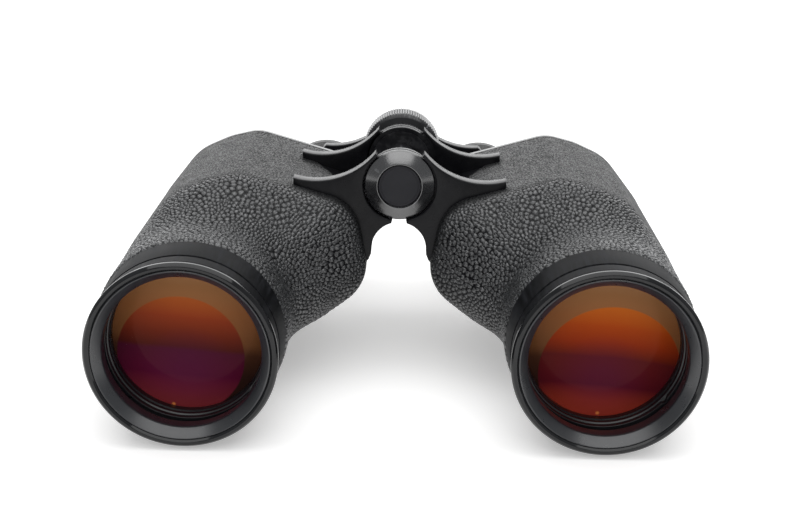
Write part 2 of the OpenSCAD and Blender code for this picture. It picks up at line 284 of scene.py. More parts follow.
def moulded(name):
    """Matte moulded plastic with a fine grain."""
    m = Nodes(name)
    n = m.noise(1900, 3, 0.6)
    m.set(Base_Color=m.ramp(m.noise(70, 3), [(0.3, (0.012, 0.012, 0.012)), (0.8, (0.028, 0.028, 0.028))]))
    m.set(Roughness=m.ramp(n, [(0.3, 0.42), (0.8, 0.6)]), Normal=m.bump(n, 0.35, 0.00006))
    return m.mat


M_ENAMEL = enamel("enamel_satin_black")
M_ARM = enamel("enamel_arm_black", dark=(0.003, 0.003, 0.0038), light=(0.006, 0.006, 0.0074),
               rough=(0.24, 0.34), wear=0.05, gloss=0.18)
M_COVER = enamel("enamel_cover_black", rough=(0.2, 0.3), wear=0.3, gloss=0.95)
M_WHEEL = enamel("enamel_wheel_black", dark=(0.007, 0.007, 0.008), light=(0.015, 0.015, 0.017),
                 rough=(0.24, 0.34), wear=0.6, gloss=0.4)
M_CAP = enamel("enamel_cap_black", rough=(0.15, 0.2), wear=0.2, gloss=0.95, ior=1.75)
M_DISC = enamel("enamel_disc_matte", dark=(0.012, 0.012, 0.015), light=(0.018, 0.018, 0.022),
                rough=(0.5, 0.62), wear=0.0)
M_HOOD = enamel("enamel_hood_black", dark=(0.01, 0.011, 0.0135), light=(0.018, 0.0195, 0.023),
                rough=(0.26, 0.34), wear=0.0, gloss=0.9)
M_RIM = rim_gloss()
M_BARREL = streaked_metal()
M_LEATHER = leatherette()
M_STEEL = metal("steel_blackened", (0.3, 0.3, 0.31), (0.12, 0.12, 0.125))
M_ALU = metal("aluminium_turned", (0.72, 0.72, 0.74), (0.5, 0.5, 0.52))
M_BRASS = metal("brass_plain", (0.75, 0.56, 0.28), (0.5, 0.36, 0.18))
M_GLASS = clear_glass("prism_glass_clear", (0.86, 0.93, 0.95), (0.95, 0.97, 0.98))
M_EYE = clear_glass("eye_lens_coated", (0.3, 0.24, 0.42), (0.4, 0.34, 0.5))
M_PLASTIC = moulded("eyecup_plastic_black")
M_ANOD = enamel("anodised_black", rough=(0.26, 0.36), wear=0.03, gloss=0.5)


# ---------------------------------------------------------------- shape helpers
def at_half(u, y, v, side):
    """Plane of a half (u away from the hinge, v square to it) to world mm."""
    return np.stack([side * (u * COS + v * SIN), y, HINGE_H - u * SIN + v * COS], -1)


def build(name, verts, faces, body, material, replaces, smooth=35.0):
    """A piece from vertices in mm; edges that turn less than smooth degrees are shaded smooth."""
    me = bpy.data.meshes.new(name)
    me.from_pydata((np.asarray(verts) * MM).tolist(), [], faces)
    me.update()
    bm = bmesh.new()
    bm.from_mesh(me)
    bmesh.ops.remove_doubles(bm, verts=bm.verts, dist=1e-7)
    bmesh.ops.recalc_face_normals(bm, faces=bm.faces)
    for e in bm.edges:
        e.smooth = len(e.link_faces) == 2 and e.calc_face_angle(0) < math.radians(smooth)
    for f in bm.faces:
        f.smooth = True
    bm.to_mesh(me)
    bm.free()
    return finish_piece(name, me, body, material, replaces)


def finish_piece(name, me, body, material, replaces):
    ob = bpy.data.objects.new(name, me)
    bpy.context.scene.collection.objects.link(ob)
    me.materials.append(material)
    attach(ob, body)
    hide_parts(*replaces)
    return ob


def fillet(points, radius, steps=4, closed=True):
    """Rounds the corners of a 2D outline with short arcs."""
    out, n = [], len(points)
    for i, p in enumerate(points):
        p = np.array(p, float)
        if not closed and i in (0, n - 1):
            out.append(p)
            continue
        a, b = np.array(points[i - 1], float) - p, np.array(points[(i + 1) % n], float) - p
        la, lb = np.linalg.norm(a), np.linalg.norm(b)
        a, b = a / la, b / lb
        turn = math.acos(max(-1, min(1, float(a @ b))))
        r = radius[i] if isinstance(radius, (list, tuple)) else radius
        if turn > math.radians(172) or r <= 0:
            out.append(p)
            continue
        back = min(r / math.tan(turn / 2), 0.45 * la, 0.45 * lb)
        r = back * math.tan(turn / 2)
        mid = (a + b) / np.linalg.norm(a + b)
        c = p + mid * (r / math.sin(turn / 2))
        s, e = p + a * back - c, p + b * back - c
        s0, e0 = math.atan2(s[1], s[0]), math.atan2(e[1], e[0])
        while e0 - s0 > math.pi:
            e0 -= 2 * math.pi
        while e0 - s0 < -math.pi:
            e0 += 2 * math.pi
        for k in range(steps + 1):
            t = s0 + (e0 - s0) * k / steps
            out.append(c + r * np.array([math.cos(t), math.sin(t)]))
    return out


def lathe(points, centre, n=120, closed=True, shape=None):
    """Profile points [radius, y] turned about a line along Y through centre (world x, z)."""
    pts = np.array(points, float)
    th = np.linspace(0, 2 * math.pi, n, endpoint=False)
    r = np.repeat(pts[:, 0][:, None], n, 1)
    y = np.repeat(pts[:, 1][:, None], n, 1)
    if shape is not None:
        r = shape(r, y, np.repeat(th[None, :], len(pts), 0))
    v = np.stack([centre[0] + r * np.cos(th), y, centre[1] + r * np.sin(th)], -1).reshape(-1, 3)
    faces, m = [], len(pts)
    for i in range(m if closed else m - 1):
        j = (i + 1) % m
        for k in range(n):
            q = (k + 1) % n
            faces.append((i * n + k, i * n + q, j * n + q, j * n + k))
    return v, faces


def turned(name, points, corners, centre, body, material, node, n=96, steps=3, closed=True,
           smooth=45.0, shape=None):
    """A piece turned about a line along Y, from its profile [radius, y] and the profile's corner radii."""
    v, f = lathe(fillet(points, corners, steps, closed), centre, n, closed, shape)
    return build(name, v, f, body, material, [node], smooth=smooth)


def join_shapes(shapes):
    verts, faces, base = [], [], 0
    for v, f in shapes:
        verts.append(np.asarray(v))
        faces += [tuple(i + base for i in face) for face in f]
        base += len(v)
    return np.concatenate(verts), faces


def on_circle(c, r, degrees):
    a = math.radians(degrees)
    return (c[0] + r * math.cos(a), c[1] + r * math.sin(a))


def arc(c, r, a0, a1, n):
    return [on_circle(c, r, a0 + (a1 - a0) * k / n) for k in range(n + 1)]


def objective_axis(side):
    return (side * OBJECTIVE_X, AXIS_H)


def eye_axis(side):
    return (side * EYE_X, HINGE_H + EYE_DZ)


HINGE_AXIS = (0.0, HINGE_H)


def leave(a, b):
    """Degrees at which the outer tangent from circle a to circle b touches both."""
    return math.degrees(math.atan2(b[1] - a[1], b[0] - a[0])
                        - math.acos((a[2] - b[2]) / math.hypot(b[0] - a[0], b[1] - a[1])))


ARC_STEP = 1.5


def outline(grow, count):
    """Housing section as evenly spaced points."""
    pts = []
    n = len(LOBES)
    for i, c in enumerate(LOBES):
        a0 = leave(LOBES[i - 1], c)
        a1 = leave(c, LOBES[(i + 1) % n])
        while a1 < a0:
            a1 += 360
        while a1 - a0 > 360:
            a1 -= 360
        for a in np.linspace(a0, a1, max(2, int((a1 - a0) / ARC_STEP))):
            pts.append(on_circle(c, c[2] + grow, a))
    p = np.array(pts + pts[:1])
    d = np.r_[0, np.cumsum(np.hypot(*np.diff(p, axis=0).T))]
    s = np.linspace(0, d[-1], count, endpoint=False)
    return np.stack([np.interp(s, d, p[:, 0]), np.interp(s, d, p[:, 1])], -1)


def soft_step(x):
    x = np.clip(x, 0, 1)
    return x * x * (3 - 2 * x)


# ---------------------------------------------------------------- housing surface
# (y, growth) stations of the shoulder: 0 is the round barrel, 1 the full housing section
SHOULDER = [(-68.0, 0.0), (-51.0, 0.0), (-47.0, 0.045), (-43.0, 0.18), (-39.0, 0.39), (-35.0, 0.63),
            (-31.5, 0.83), (-28.5, 0.955), (-26.0, 0.99), (-23.0, 1.0), (41.0, 1.0)]


def blend_at(y):
    """Growth of the section at y: a smooth curve through the shoulder's stations that never turns back."""
    ys = np.array([p[0] for p in SHOULDER])
    ss = np.array([p[1] for p in SHOULDER])
    h, d = np.diff(ys), np.diff(ss) / np.diff(ys)
    m = np.zeros(len(ys))
    for i in range(1, len(ys) - 1):
        if d[i - 1] * d[i] > 0:
            w1, w2 = 2 * h[i] + h[i - 1], h[i] + 2 * h[i - 1]
            m[i] = (w1 + w2) / (w1 / d[i - 1] + w2 / d[i])
    i = np.clip(np.searchsorted(ys, y) - 1, 0, len(h) - 1)
    t = (y - ys[i]) / h[i]
    return ((1 + 2 * t) * (1 - t) ** 2 * ss[i] + t * (1 - t) ** 2 * h[i] * m[i]
            + t * t * (3 - 2 * t) * ss[i + 1] + t * t * (t - 1) * h[i] * m[i + 1])


# shallow hollow under the housing, between the prism side and the barrel (degrees below the inner side)
WAIST_DEPTH, WAIST_AT, WAIST_WIDTH = 2.6, 53.5, 7.5


def housing_points(ys, grow, count):
    """Grid of (u, y, v) on the housing surface, grown outwards by grow."""
    full = outline(grow, count)
    o = np.array([OBJ_U, 0.0])
    d = full - o
    r = np.hypot(d[:, 0], d[:, 1])
    unit = d / r[:, None]
    s = blend_at(ys)[:, None]
    below = np.degrees(np.arctan2(-d[:, 1], -d[:, 0]))
    waist = WAIST_DEPTH * np.exp(-((below - WAIST_AT) / WAIST_WIDTH) ** 2)
    rr = (BARREL_R + grow) * (1 - s) + (r - waist)[None, :] * s
    u = o[0] + unit[:, 0][None, :] * rr
    v = o[1] + unit[:, 1][None, :] * rr
    return u, np.repeat(ys[:, None], count, 1), v


def grid_faces(rows, cols, wrap=True):
    i, k = np.meshgrid(np.arange(rows - 1), np.arange(cols if wrap else cols - 1), indexing="ij")
    q = (k + 1) % cols
    return np.stack([i * cols + k, i * cols + q, (i + 1) * cols + q, (i + 1) * cols + k], -1).reshape(-1, 4)


def grid_normals(p):
    du = np.roll(p, -1, 1) - np.roll(p, 1, 1)
    dv = np.gradient(p, axis=0)
    n = np.cross(dv, du)
    return n / np.maximum(np.linalg.norm(n, axis=-1, keepdims=True), 1e-9)


PACKING = 0.87          # area of a pebble over its size squared
EVENING_ROUNDS = 2
UNEVEN = 0.14           # spread of the pebbles' heights
PEBBLE_FRONT, PEBBLE_FLANK = 1.7, 1.0
RELIEF_FRONT, RELIEF_FLANK = 0.75, 0.22
FLANK_FROM, FLANK_BLEND = -28.5, 4.0
LEATHER_FRONT, LEATHER_BACK = -67.8, 39.6
LEATHER_FOLD = 0.7      # the skin's edges turn in by this much
ARM_GAP = 0.2           # the skin stops this far before an arm
LEATHER_GROW, CASTING_GROW = -0.05, -0.72
# the skin is open inside these bounds: x in level axes from the hinge line, u and v in the half's plane
WEB_U, WEB_Z = 60, -33
WEB_X_FRONT, WEB_X_MORE = 17.0, 14.5
ARM_X, ARM_U, ARM_V = 31, 45, -14


def seed_tree(seeds):
    tree = KDTree(len(seeds))
    for i, at in enumerate(seeds):
        tree.insert(at, i)
    tree.balance()
    return tree


def pebbles(p, size, draw):
    """Height 0..1 of a pebbled grain on surface grid p: irregular domes of about the given size, with
    grooves between them, round points that are drawn on the surface and evened out."""
    flat = p.reshape(-1, 3)
    size = size.reshape(-1)
    area = np.linalg.norm(np.roll(p, -1, 1) - p, axis=-1) * np.linalg.norm(np.gradient(p, axis=0), axis=-1)
    weight = area.reshape(-1) / (PACKING * size ** 2)
    count = int(weight.sum())
    seeds = flat[draw.choice(len(flat), count, replace=False, p=weight / weight.sum())]
    for _ in range(EVENING_ROUNDS):
        tree = seed_tree(seeds)
        owner = np.array([tree.find(q)[1] for q in flat])
        total = np.maximum(np.bincount(owner, weight, count), 1e-9)
        seeds = np.stack([np.bincount(owner, weight * flat[:, k], count) / total for k in range(3)], -1)
    tree = seed_tree(seeds)
    tall = 1.0 - UNEVEN * draw.random(count)
    near = [tree.find_n(q, 2) for q in flat]
    owner = np.array([pair[0][1] for pair in near])
    first = np.array([pair[0][2] for pair in near]) / size
    second = np.array([pair[1][2] for pair in near]) / size
    dome = tall[owner] * (1.0 - 0.5 * np.clip(first / 0.7, 0, 1) ** 2)
    return (dome * soft_step((second - first + 0.08) / 0.32)).reshape(p.shape[:2])


def web_cut(y):
    """x (level axes) where the leather ends over the web: near the hinge in front, far out at the back."""
    t = np.clip((y - FRONT_ARM[1]) / (REAR_ARM[0] - FRONT_ARM[1]), 0, 1)
    return WEB_X_FRONT + WEB_X_MORE * t ** 1.5


def face_outwards(bm, middle):
    """Turns the faces of a skin away from the line along Y through middle."""
    outwards = 0.0
    for f in list(bm.faces)[::500]:
        away = f.calc_center_median() - middle
        away.y = 0
        outwards += f.normal.dot(away)
    if outwards < 0:
        bmesh.ops.reverse_faces(bm, faces=bm.faces)


def fold_edges(bm, depth):
    """Turns the open edges of a skin inwards by depth."""
    rim = [e for e in bm.edges if len(e.link_faces) == 1]
    bm.normal_update()
    old = {tuple(round(c, 7) for c in w.co): w.normal.copy() for e in rim for w in e.verts}
    for g in bmesh.ops.extrude_edge_only(bm, edges=rim)["geom"]:
        if isinstance(g, bmesh.types.BMVert):
            g.co -= old[tuple(round(c, 7) for c in g.co)] * depth


def make_leather(side, tag, body):
    """The pebbled skin of one housing: coarse in front, fine on the flank, open under the web and arms."""
    count = 800
    ys = np.concatenate([np.arange(LEATHER_FRONT, -51, 0.4), np.arange(-51, -24, 0.27),
                         np.arange(-24, LEATHER_BACK, 0.46), [LEATHER_BACK]])
    u, y, v = housing_points(ys, LEATHER_GROW, count)
    p = at_half(u, y, v, 1)
    nrm = grid_normals(p)
    x_level = u * COS + v * SIN
    z_level = -u * SIN + v * COS
    flank = soft_step((y - FLANK_FROM) / FLANK_BLEND)
    depth = RELIEF_FRONT * (1 - flank) + RELIEF_FLANK * flank
    size = PEBBLE_FRONT * (1 - flank) + PEBBLE_FLANK * flank
    grain = pebbles(p, size, np.random.default_rng(11 + side))
    edge = soft_step((y - LEATHER_FRONT) / 1.2)
    p = p - nrm * ((1 - grain * edge) * depth)[..., None]
    over_web = (y > FRONT_ARM[1] - 0.5) & (y < REAR_ARM[0] + 0.5) & (z_level > WEB_Z)
    keep = ~(over_web & (x_level < web_cut(y)) & (u < WEB_U))
    for a, b in (FRONT_ARM, REAR_ARM):
        at_arm = (y > a - ARM_GAP) & (y < b + ARM_GAP)
        keep &= ~(at_arm & (x_level < ARM_X) & (u < ARM_U) & (v > ARM_V))
    faces = grid_faces(len(ys), count)
    faces = faces[keep.reshape(-1)[faces].any(1)]
    me = bpy.data.meshes.new(f"{tag}_leather_skin")
    pts = p.reshape(-1, 3).copy()
    pts[:, 0] *= side
    me.from_pydata((pts * MM).tolist(), [], faces.tolist())
    attr = me.attributes.new("grain", "FLOAT", "POINT")
    # colour level from pebble height: grooves painted dark as shade, tops pale as highlight; lower and
    # flatter on the flank
    level = grain * (1 - flank) + (0.03 + 0.54 * grain) * flank
    attr.data.foreach_set("value", level.reshape(-1).astype(np.float32))
    bm = bmesh.new()
    bm.from_mesh(me)
    bmesh.ops.delete(bm, geom=[w for w in bm.verts if not w.link_faces], context="VERTS")
    bmesh.ops.recalc_face_normals(bm, faces=bm.faces)
    face_outwards(bm, Vector((side * OBJECTIVE_X, 0, AXIS_H)) * MM)
    fold_edges(bm, LEATHER_FOLD * MM)
    for f in bm.faces:
        f.smooth = True
    bm.to_mesh(me)
    bm.free()
    return finish_piece(me.name, me, body, M_LEATHER, [f"{tag}_leather"])


# ---------------------------------------------------------------- arms, web and hub
def plate(points, y1, y2, side, round_mm=0.45):
    """A plate cut to an outline (level axes from the hinge line), with rounded edges."""
    bm = bmesh.new()
    ring1 = [bm.verts.new(Vector((side * x, y1, HINGE_H + z)) * MM) for x, z in points]
    ring2 = [bm.verts.new(Vector((side * x, y2, HINGE_H + z)) * MM) for x, z in points]
    bm.faces.new(ring1)
    bm.faces.new(ring2[::-1])
    n = len(points)
    for i in range(n):
        j = (i + 1) % n
        bm.faces.new((ring1[j], ring1[i], ring2[i], ring2[j]))
    bmesh.ops.recalc_face_normals(bm, faces=bm.faces)
    caps = [e for e in bm.edges if abs(e.verts[0].co.y - e.verts[1].co.y) < 1e-9]
    bmesh.ops.bevel(bm, geom=caps, offset=round_mm * MM, offset_type="OFFSET", segments=3, profile=0.5,
                    affect="EDGES", clamp_overlap=True)
    bmesh.ops.triangulate(bm, faces=[f for f in bm.faces if len(f.verts) > 4])
    bm.verts.index_update()
    verts = np.array([w.co[:] for w in bm.verts]) / MM
    faces = [tuple(w.index for w in f.verts) for f in bm.faces]
    bm.free()
    return verts, faces


ARM_C, ARM_R = (29.4, 28.1), 26.9       # the concave top of an arm
ARCH_Z, ARCH_R = -22.6, 9.5             # the arch under the hinge, between the halves
HALF_GAP = 2.67                         # where the arch meets the gap between the halves
SLEEVE_BAY_R = 12.4                     # the arm's hidden tail leaves room for the ocular sleeve


def arm_outline(drop, hub):
    """Outline of an arm: hub side, then along the concave top, round the far end, back under the leather."""
    top = []
    for a in np.linspace(218.5, 285.4, 26):
        x, z = on_circle((ARM_C[0], ARM_C[1] - drop), ARM_R, a)
        if math.hypot(x, z) > hub + 0.6:
            top.append((x, z))
    bay = arc((EYE_X, EYE_DZ), SLEEVE_BAY_R, 90, 210, 8)
    tail = [(36.6, top[-1][1] - 1.6), (35.5, -9)] + bay + [(14.5, -34)]
    first = math.degrees(math.atan2(top[0][1], top[0][0])) - 1.0
    inner = [on_circle((0, 0), hub, a) for a in np.linspace(-79.0, first, 22)]
    low = [(13.2, -30.0), (10.4, -26.6), (9.6, -24.6)]
    corner = (HALF_GAP, ARCH_Z + math.sqrt(ARCH_R ** 2 - HALF_GAP ** 2))
    arch = [p for p in arc((0, ARCH_Z), ARCH_R, 0, 66, 10) if p[0] > corner[0] + 0.3]
    return inner + top + tail + low + arch + [corner]


def neck(row, side):
    """The short sector that joins a lug to its arm."""
    points = arc((0, 0), 8.0, -74, 49, 14) + arc((0, 0), LUG_R + 1.6, 49, -74, 14)
    return plate(points, row[0] + 0.05, row[1] - 0.05, side, 0.1)


def make_casting(side, tag, body):
    """Arms, web, hinge lugs and the housing under the leather, as one casting."""
    shapes = []
    for a, b in (FRONT_ARM, REAR_ARM):
        shapes.append(plate(arm_outline(0.0, LUG_R + 0.5), a, b, side))
    shapes.append(plate(arm_outline(WEB_DROP, SLEEVE_R + 0.8), *SLEEVE_ROW, side, 0.2))
    between = (FRONT_ARM[1] - 0.5, REAR_ARM[0] + 0.5)
    shapes.append(plate(arm_outline(WEB_DROP + 0.05, LUG_R + 0.55), *between, side, 0.2))
    for a, b in LEFT_LUGS if side > 0 else RIGHT_LUGS:
        hub = [(AXLE_R + 0.05, a), (LUG_R, a), (LUG_R, b), (AXLE_R + 0.05, b)]
        shapes.append(lathe(fillet(hub, [0, 0.35, 0.35, 0]), HINGE_AXIS, 120))
        shapes.append(neck((a, b), side))
    ys = np.concatenate([np.linspace(-67.6, -52, 8), np.linspace(-50, -23, 28), np.linspace(-20, 39.9, 24)])
    count = 200
    u, y, v = housing_points(ys, CASTING_GROW, count)
    p = at_half(u, y, v, side)
    shapes.append((p.reshape(-1, 3), [tuple(f) for f in grid_faces(len(ys), count).tolist()]))
    verts, faces = join_shapes(shapes)
    build(f"{tag}_casting", verts, faces, body, M_ARM, [f"{tag}_body"])


# ---------------------------------------------------------------- rear cover, screws, strap lug
COVER_SCREWS = [(0, -50), (0, 15), (1, 75), (5, 232)]       # (lobe, degrees)
SCREW_INSET, SCREW_R, SLOT_W, SLOT_FLOOR = 2.4, 1.85, 0.6, 0.45
STRAP_OUT, STRAP_UP = 23.0, 8.0     # strap eye: beyond the objective axis, above the cover's seat
STRAP_R, STRAP_HOLE_R = 4.5, 2.2


def outline_loft(profile, side, count=300):
    """A slab whose section follows the housing outline: profile rows are (grow, y), capped at both ends."""
    rings = []
    for g, y in profile:
        o = outline(g, count)
        rings.append(at_half(o[:, 0], np.full(count, y), o[:, 1], side))
    verts = np.concatenate(rings)
    faces = [tuple(f) for f in grid_faces(len(profile), count).tolist()]
    faces.append(tuple(range(count)))
    faces.append(tuple(range((len(profile) - 1) * count, len(profile) * count))[::-1])
    return verts, faces


def screw_head(at):
    """A slotted screw head on the rear cover, its slot at a random angle."""
    prof = fillet([(0.0, COVER_TOP - 0.2), (SCREW_R, COVER_TOP - 0.2), (SCREW_R, COVER_TOP + 0.55),
                   (1.2, COVER_TOP + 1.05), (0.0, COVER_TOP + 1.1)], [0, 0, 0.25, 0.3, 0], 3, closed=False)
    v, f = lathe(prof, (at[0], at[2]), 32, closed=False)
    turn = math.radians(rng.uniform(0, 180))
    dx, dz = v[:, 0] - at[0], v[:, 2] - at[2]
    across = np.abs(-dx * math.sin(turn) + dz * math.cos(turn))
    in_slot = (across < SLOT_W / 2) & (v[:, 1] > COVER_TOP + 0.4)
    v[:, 1] = np.where(in_slot, COVER_TOP + SLOT_FLOOR, v[:, 1])
    return v, f


def make_cover(side, tag, body):
    rows = [(-3.3, COVER_Y - 2.5), (-3.3, COVER_Y - 0.05), (0.0, COVER_Y - 0.05), (0.0, COVER_TOP - 0.5),
            (-0.6, COVER_TOP), (-4.0, COVER_TOP)]
    verts, faces = outline_loft(fillet(rows, [0, 0, 0.12, 0.3, 0.3, 0], 5, closed=False), side)
    build(f"{tag}_rear_cover_plate", verts, faces, body, M_COVER, [f"{tag}_rear_cover"])
    shapes = []
    for lobe, degrees in COVER_SCREWS:
        c = LOBES[lobe]
        u, v = on_circle(c, c[2] - SCREW_INSET, degrees)
        shapes.append(screw_head(at_half(np.array(u), np.array(0.0), np.array(v), side)))
    verts, faces = join_shapes(shapes)
    build(f"{tag}_screw_heads", verts, faces, body, M_STEEL, [f"{tag}_cover_screws"])


def make_strap_lug(side, tag, body):
    """A flat eye standing on the rear cover, its hole square to the half's plane."""
    cu, cy = OBJ_U + STRAP_OUT, COVER_Y + STRAP_UP
    outer = [(-1.5, -0.5), (-1.25, -0.12), (-0.9, 0.0), (0.9, 0.0), (1.25, -0.12), (1.5, -0.5)]
    hole = [(1.5, 0.5), (1.2, 0.1), (0.8, 0.0), (-0.8, 0.0), (-1.2, 0.1), (-1.5, 0.5)]
    turns = [2 * math.pi * k / 48 for k in range(48)]
    pts = []
    for dv, grow in outer:
        r = STRAP_R + grow
        for a in turns:
            if math.sin(a) < 0:
                wide = math.copysign(r * min(1, abs(math.cos(a)) + 0.35), math.cos(a))
                pts.append((cu + wide, cy + (STRAP_UP - COVER_T) * math.sin(a), dv))
            else:
                pts.append((cu + r * math.cos(a), cy + r * math.sin(a), dv))
    for dv, grow in hole:
        r = STRAP_HOLE_R + grow
        pts += [(cu + r * math.cos(a), cy + r * math.sin(a), dv) for a in turns]
    pts = np.array(pts)
    verts = at_half(pts[:, 0], pts[:, 1], pts[:, 2], side)
    rows, n = len(outer) + len(hole), len(turns)
    faces = [tuple(f) for f in grid_faces(rows, n).tolist()]
    last = (rows - 1) * n
    faces += [(last + k, last + (k + 1) % n, (k + 1) % n, k) for k in range(n)]
    build(f"{tag}_strap_eye", verts, faces, body, M_STEEL, [f"{tag}_strap_lug"])


# ---------------------------------------------------------------- objective end
RIM_Y, RIM_BACK, BAND_BACK, TUBE_BACK = -90.0, -86.0, -68.2, -55.0
RIM_R, TUBE_BORE_R = 30.0, 27.6
LENS_R, LENS_SEEN_R = 25.3, 24.2
LENS_FRONT, LENS_BACK = -75.0, -65.0
LENS_BOW_FRONT, LENS_BOW_BACK = 110.0, -75.0


NOTCH_TURN, NOTCH_HALF, NOTCH_R, NOTCH_BACK = 0.9, 0.035, 25.7, -76.6


def notches(r, y, th):
    """Two slots for a key across the front of the retaining ring."""
    a = np.abs(((th - NOTCH_TURN) % math.pi) - math.pi / 2)
    return np.where((a < NOTCH_HALF) & (y < NOTCH_BACK) & (r < NOTCH_R - 0.1), NOTCH_R, r)


def make_objective(side, tag, body):
    """Barrel with a rolled rim, the hood cone in it, the lens cell, and the ring that keeps the lens."""
    c = objective_axis(side)
    tube = [(TUBE_BORE_R, -89.2), (28.3, RIM_Y), (29.2, RIM_Y), (RIM_R, -89.0), (RIM_R, -87.9), (29.3, -86.3),
            (29.45, -85.5), (29.45, -80.75), (29.05, -80.4), (29.05, -80.1), (29.6, -79.75),
            (30.3, BAND_BACK), (28.45, -68.1), (28.45, TUBE_BACK), (TUBE_BORE_R, TUBE_BACK)]
    corners = [0.3, 0.4, 0.7, 0.9, 0.9, 0.15, 0.1, 0.08, 0.1, 0.1, 0.08, 0.15, 0.1, 0.1, 0.1]
    ob = turned(f"{tag}_objective_barrel", tube, corners, c, body, M_BARREL,
                f"{tag}_objective_tube", n=180, steps=5, smooth=50)
    ob.data.materials.append(M_RIM)
    for poly in ob.data.polygons:
        if poly.center.y < RIM_BACK * MM:
            poly.material_index = 1
    hood = [(27.55, -89.35), (27.2, -89.5), (24.8, -86.6), (24.55, -86.1), (24.55, -82.3), (25.5, -82.1),
            (25.6, -80.6), (27.55, -80.6)]
    turned(f"{tag}_hood_cone", hood, [0.1, 0.15, 0.3, 0.2, 0.25, 0.2, 0.1, 0.1], c, body, M_HOOD,
           f"{tag}_hood", n=160, steps=4, smooth=50)
    cell = [(27.5, -80.5), (27.5, -57.1), (23.85, -57.1), (23.85, -59.3), (25.45, -59.4), (25.45, -71.9),
            (26.2, -72.1), (26.2, -79.4), (26.6, -80.5)]
    turned(f"{tag}_lens_cell_ring", cell, 0.15, c, body, M_ANOD, f"{tag}_lens_cell",
           n=128, smooth=50)
    keeper = [(26.1, -78.5), (26.1, -72.2), (24.2, -72.2), (24.2, -74.6), (24.6, -75.1), (24.6, -76.4),
              (25.1, -76.7), (25.1, -78.5)]
    turned(f"{tag}_retaining_ring", keeper, [0.1, 0.1, 0.15, 0.25, 0.15, 0.25, 0.15, 0.2], c, body, M_ANOD,
           f"{tag}_lens_ring", n=180, steps=4, smooth=50, shape=notches)


def lens_face(radius, y0):
    """Points [r, y] on a spherical face from the axis to the edge; the sign of radius is its bow."""
    face = []
    for r in np.linspace(0, LENS_R, 40):
        sag = abs(radius) - math.sqrt(radius * radius - r * r)
        face.append((r, y0 + math.copysign(sag, radius)))
    return face


# painted reflections in the coated glass, from its foot upwards, as (height, colour): the amber disc of
# the lens on the picture's left, that of the lens on its right, and the crescent over both
AMBER_REFLECTION_LEFT = [
    (0.06, (0.3, 0.035, 0.04)), (0.16, (0.19, 0.02, 0.034)), (0.29, (0.09, 0.006, 0.026)),
    (0.462, (0.066, 0.007, 0.022)), (0.488, (0.07, 0.0105, 0.0085)), (0.57, (0.126, 0.0185, 0.0092)),
    (0.69, (0.235, 0.037, 0.0125)), (0.8, (0.365, 0.08, 0.018)), (0.88, (0.44, 0.125, 0.033))]
AMBER_REFLECTION_RIGHT = [
    (0.06, (0.45, 0.05, 0.027)), (0.16, (0.3, 0.033, 0.019)), (0.28, (0.094, 0.007, 0.013)),
    (0.48, (0.095, 0.0095, 0.0105)), (0.505, (0.13, 0.0145, 0.0075)), (0.58, (0.24, 0.026, 0.0062)),
    (0.69, (0.35, 0.051, 0.007)), (0.81, (0.5, 0.112, 0.013)), (0.88, (0.55, 0.15, 0.022))]
CRESCENT_REFLECTION = [
    (0.3, (0.03, 0.012, 0.009)), (0.46, (0.06, 0.022, 0.012)), (0.54, (0.15, 0.058, 0.022)),
    (0.75, (0.26, 0.1, 0.036)), (0.9, (0.33, 0.15, 0.06)), (1.0, (0.42, 0.21, 0.1))]


def coated(name, centre, inner_at, inner_r, bow, amber):
    """Painted reflections in the coated objective: a tan crescent above, an amber disc inside it, wine red
    below a soft line.
    """
    m = Nodes(name)
    x, _, z = m.xyz()
    px = m.math("DIVIDE", m.math("SUBTRACT", x, centre[0] * MM), LENS_SEEN_R * MM)
    pz = m.math("DIVIDE", m.math("SUBTRACT", z, centre[1] * MM), LENS_SEEN_R * MM)

    def disc(ox, oz, r, soft):
        dx = m.math("SUBTRACT", px, ox)
        dz = m.math("SUBTRACT", pz, oz)
        d = m.math("SQRT", m.math("ADD", m.math("MULTIPLY", dx, dx), m.math("MULTIPLY", dz, dz)))
        return m.ramp(m.math("SUBTRACT", d, r - 0.5), [(0.5 - soft, 1.0), (0.5 + soft, 0.0)])

    # painted reflections: crescent and amber disc coloured by height, split by a painted horizon line that
    # bows and wobbles
    wobble = m.math("MULTIPLY", m.math("SUBTRACT", m.noise(70, 1), 0.5), 0.05)
    arch = m.math("MULTIPLY", m.math("MULTIPLY", px, px), bow)
    level = m.math("ADD", m.math("ADD", pz, m.math("MULTIPLY", px, 0.08)), m.math("ADD", arch, wobble))
    height = m.math("ADD", m.math("MULTIPLY", level, 0.5), 0.54)
    crescent = m.ramp(height, CRESCENT_REFLECTION)
    inner = m.ramp(height, amber)
    mask = disc(inner_at[0], inner_at[1], inner_r, 0.008)
    colour = m.mix(mask, crescent, inner)
    # painted reflection: a purple patch low in the amber disc
    violet = m.math("MULTIPLY", disc(0.0, -0.45, 0.4, 0.25), mask)
    colour = m.mix(m.math("MULTIPLY", violet, 0.3), colour, (0.06, 0.009, 0.05))
    specks = m.math("MULTIPLY", m.ramp(m.cells(330), [(0.0, 1.0), (0.03, 0.0)]),
                    m.ramp(m.noise(60, 2), [(0.5, 0.0), (0.62, 1.0)]))
    colour = m.mix(m.math("MULTIPLY", specks, 0.4), colour, (0.5, 0.4, 0.4))
    # painted highlight: a small bright orange glint near the foot of the glass
    glint = disc(inner_at[0] - 0.12, -0.955, 0.022, 0.012)
    colour = m.mix(glint, colour, (1.0, 0.3, 0.08))
    m.set(Base_Color=colour, Roughness=m.ramp(specks, [(0.0, 0.06), (1.0, 0.4)]))
    m.set(Specular_IOR_Level=0.08, Specular_Tint=(0.9, 0.4, 0.3, 1.0))
    return m.mat


